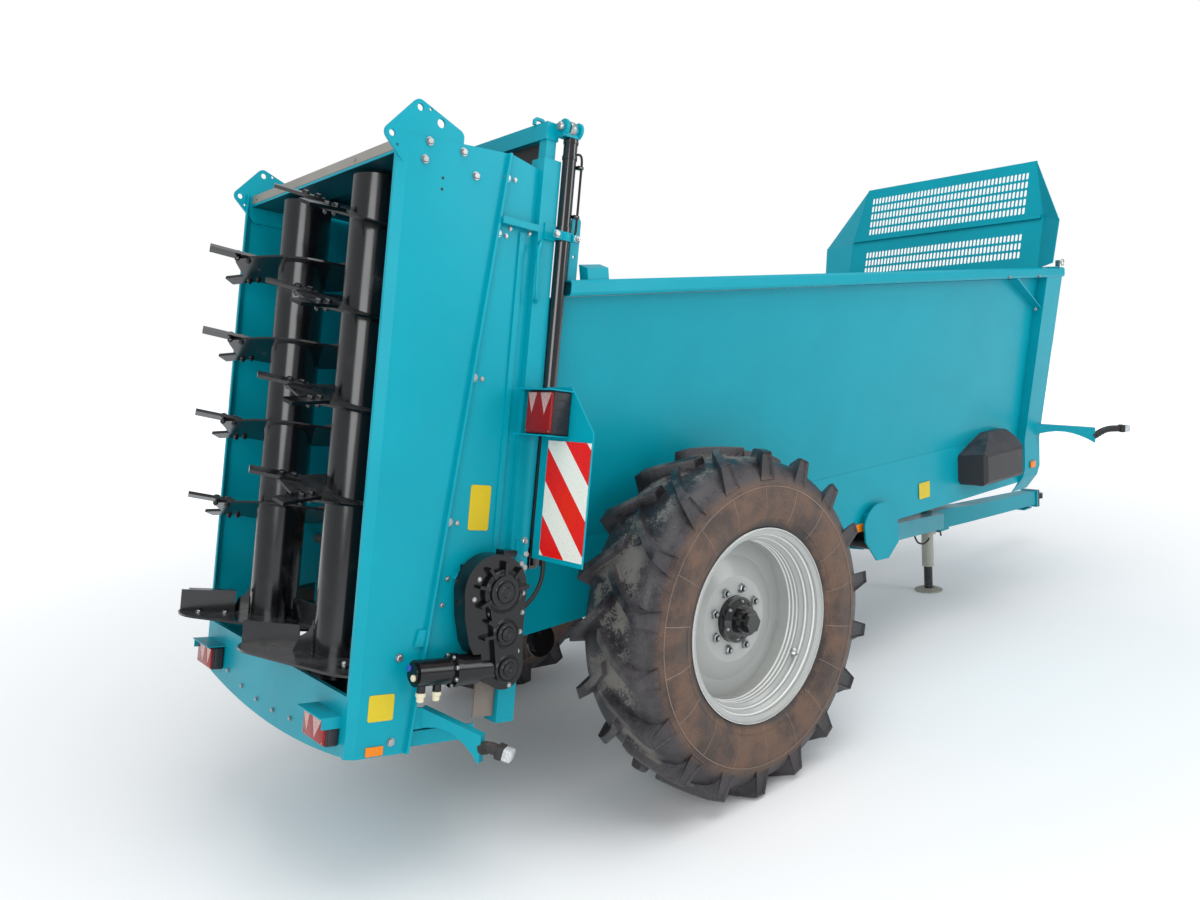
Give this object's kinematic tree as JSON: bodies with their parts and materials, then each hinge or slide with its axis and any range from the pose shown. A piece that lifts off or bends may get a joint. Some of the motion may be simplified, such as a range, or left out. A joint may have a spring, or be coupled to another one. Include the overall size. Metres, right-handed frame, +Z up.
{
  "type": "manure spreader",
  "caption": "Single-axle rear-discharge manure spreader: flared body on large lugged tyres, leaning rear unit with upright beaters, sliding door, slotted front screen, drawbar and jack.",
  "frame": {"origin": "on the ground under the middle of the overall length and width", "axes": "+X forward to the towing eye, +Y left, +Z up"},
  "size_m": [7.3454, 2.55, 3.235],
  "materials": {
    "teal_paint": "gloss enamel",
    "black_paint": "gloss enamel",
    "silver_paint": "satin enamel",
    "grey_paint": "satin enamel",
    "tyre_rubber": "matte",
    "worn_steel": "worn",
    "zinc_steel": "zinc plated",
    "chrome_rod": "polished",
    "black_casting": "painted black",
    "black_plastic": "moulded",
    "red_plastic": "lens",
    "board_paint": "striped"
  },
  "bodies": {
    "chassis": {"side_right": "teal_paint", "side_left": "teal_paint", "rail_right": "teal_paint", "rail_left": "teal_paint", "floor_plate": "worn_steel", "front_wall": "teal_paint", "front_screen": "teal_paint", "girder_right": "teal_paint", "girder_left": "teal_paint", "cross_members": "teal_paint", "conveyor_top": "worn_steel", "conveyor_return": "worn_steel", "conveyor_drive_shaft": "worn_steel", "conveyor_idler": "worn_steel", "axle_beam": "black_paint", "brake_cylinders": "black_paint", "pivot_bracket_right": "teal_paint", "pivot_bracket_left": "teal_paint", "drawbar_pivot": "black_paint", "drawbar_arm_right": "teal_paint", "drawbar_arm_left": "teal_paint", "drawbar_beam": "teal_paint", "towing_eye": "black_casting", "jack_barrel": "grey_paint", "rear_panel_right": "teal_paint", "rear_panel_left": "teal_paint", "post_right": "teal_paint", "post_left": "teal_paint", "top_beam": "zinc_steel", "rear_skirt": "teal_paint", "beater_gearbox": "black_casting", "door_cylinders": "black_paint", "floor_gearbox": "black_casting", "drive_motor": "black_casting", "shaft_bearings": "black_casting", "cardan_guard": "black_plastic", "low_lamps": "red_plastic", "high_lamps": "red_plastic", "marker_boards": "board_paint", "rear_arms": "teal_paint", "front_arms": "teal_paint", "storage_box": "black_plastic"},
    "wheel_right": {"rim_right": "silver_paint", "tyre_right": "tyre_rubber", "hub_right": "black_paint"},
    "wheel_left": {"rim_left": "silver_paint", "tyre_left": "tyre_rubber", "hub_left": "black_paint"},
    "beater_right": {"beater_right": "black_paint"},
    "beater_left": {"beater_left": "black_paint"},
    "door": {"door": "teal_paint"},
    "jack_leg": {"jack_leg": "black_paint"},
    "line_shaft": {"line_shaft": "zinc_steel"}
  },
  "joints": [
    {"name": "wheel_right_roll", "type": "hinge", "parent": "chassis", "child": "wheel_right", "pos_m": [-1.59429, -1.0415, 0.823], "axis": [0, 1, 0], "continuous": true},
    {"name": "wheel_left_roll", "type": "hinge", "parent": "chassis", "child": "wheel_left", "pos_m": [-1.59429, 1.0415, 0.823], "axis": [0, 1, 0], "continuous": true},
    {"name": "beater_right_turn", "type": "hinge", "parent": "chassis", "child": "beater_right", "pos_m": [-3.14293, -0.372, 1.64002], "axis": [0.1994, 0, 0.9799], "continuous": true},
    {"name": "beater_left_turn", "type": "hinge", "parent": "chassis", "child": "beater_left", "pos_m": [-3.14293, 0.372, 1.64002], "axis": [0.1994, 0, 0.9799], "continuous": true},
    {"name": "line_shaft_turn", "type": "hinge", "parent": "chassis", "child": "line_shaft", "pos_m": [-1.59429, 0, 0.965], "axis": [1, 0, 0], "continuous": true},
    {"name": "door_lift", "type": "slide", "parent": "chassis", "child": "door", "axis": [0.1994, 0, 0.9799], "range_m": [0, 1.4]},
    {"name": "jack_slide", "type": "slide", "parent": "chassis", "child": "jack_leg", "axis": [0, 0, 1], "range_m": [0, 0.16]}
  ],
  "couplings": [
    {"joint": "beater_left_turn", "follows": "beater_right_turn", "ratio": -1},
    {"joint": "line_shaft_turn", "follows": "beater_right_turn", "ratio": 2}
  ]
}
